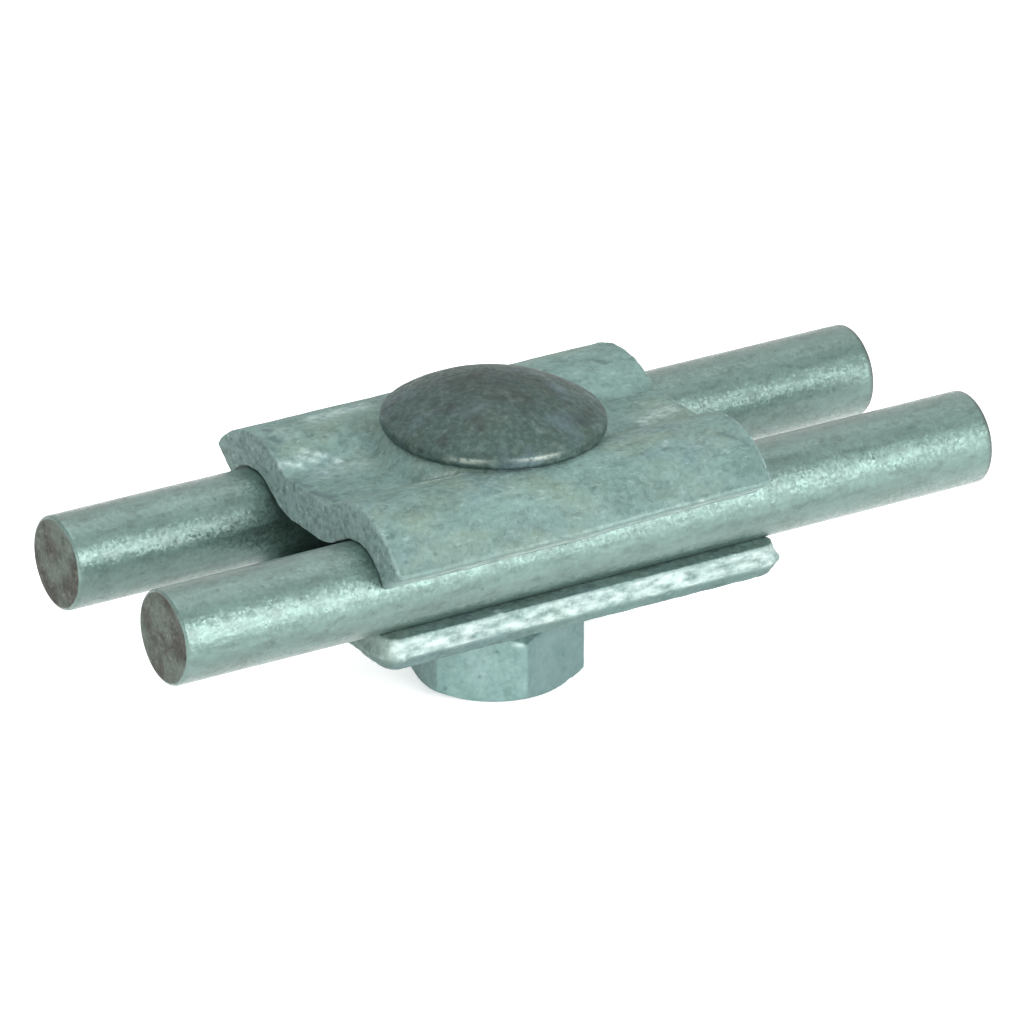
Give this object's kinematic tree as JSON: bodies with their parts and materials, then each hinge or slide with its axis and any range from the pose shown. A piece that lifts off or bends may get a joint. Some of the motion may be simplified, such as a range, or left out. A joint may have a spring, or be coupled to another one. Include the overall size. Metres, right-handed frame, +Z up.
{
  "type": "parallel connector",
  "caption": "Pressed steel clamp halves drawn together by a square-neck bolt and nut, holding round conductors side by side.",
  "frame": {"origin": "centre of the nut's lower face, on the bolt's axis", "axes": "+Z up the bolt towards its head, +X along the conductors, -Y towards the near conductor"},
  "size_m": [0.0988, 0.038, 0.0334],
  "materials": {
    "clamp_plate": "hot-dip galvanised, matt and mottled",
    "bolt": "hot-dip galvanised, weathered dark and pitted",
    "nut": "hot-dip galvanised, matt",
    "washer": "hot-dip galvanised, matt",
    "conductor": "drawn wire, hot-dip galvanised, ends sawn"
  },
  "bodies": {
    "lower_half": {"lower_clamp_plate": "clamp_plate", "spring_washer": "washer", "conductor_rod_front": "conductor", "conductor_rod_rear": "conductor"},
    "upper_half": {"upper_clamp_plate": "clamp_plate", "mushroom_head_bolt": "bolt"},
    "nut": {"hex_nut": "nut"}
  },
  "joints": [
    {"name": "nut_turn", "type": "hinge", "parent": "lower_half", "child": "nut", "pos_m": [0, 0, 0], "axis": [0, 0, -1], "range_deg": [0, 1080]},
    {"name": "clamp_opening", "type": "slide", "parent": "lower_half", "child": "upper_half", "axis": [0, 0, 1], "range_m": [0, 0.0045]}
  ],
  "couplings": [
    {"joint": "clamp_opening", "follows": "nut_turn", "m_per_rad": 0.00023873}
  ]
}
